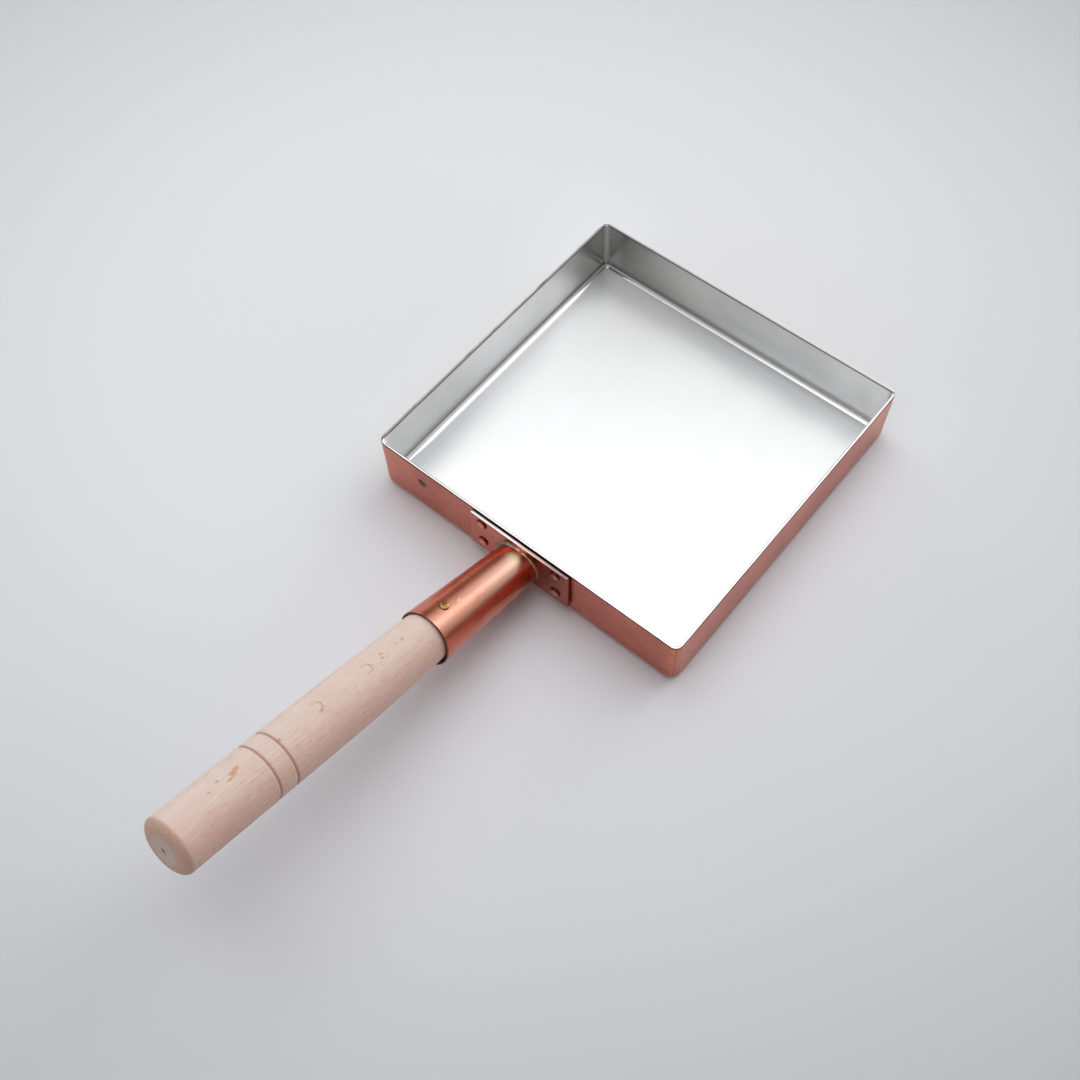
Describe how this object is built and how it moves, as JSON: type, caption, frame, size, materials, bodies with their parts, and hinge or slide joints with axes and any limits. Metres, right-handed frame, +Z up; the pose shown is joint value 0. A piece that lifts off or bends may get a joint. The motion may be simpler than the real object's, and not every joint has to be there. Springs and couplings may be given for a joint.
{
  "type": "tamagoyaki pan",
  "caption": "Square copper pan with upright walls, tinned inside; a tapered socket on a riveted plate holds a turned wooden grip that rises away from the pan.",
  "frame": {"origin": "centre of the pan's flat underside", "axes": "+Z up, +X along the wall that carries the handle, -Y towards the end of the handle"},
  "size_m": [0.18, 0.389, 0.0938],
  "materials": {
    "copper": "satin copper, slightly oxidised",
    "tin": "wiped tin with fine brushed streaks",
    "braze": "bright braze metal, as cast",
    "beech": "turned and sanded, bare wood",
    "nail_brass": "bright brass"
  },
  "bodies": {
    "root": {"pan_body": "copper", "tin_lining": "tin", "handle_plate": "copper", "handle_socket": "copper", "braze_bead": "braze", "handle_grip": "beech", "handle_nail": "nail_brass", "rivet_left_lower": "copper", "rivet_left_upper": "copper", "rivet_right_lower": "copper", "rivet_right_upper": "copper"}
  },
  "joints": []
}
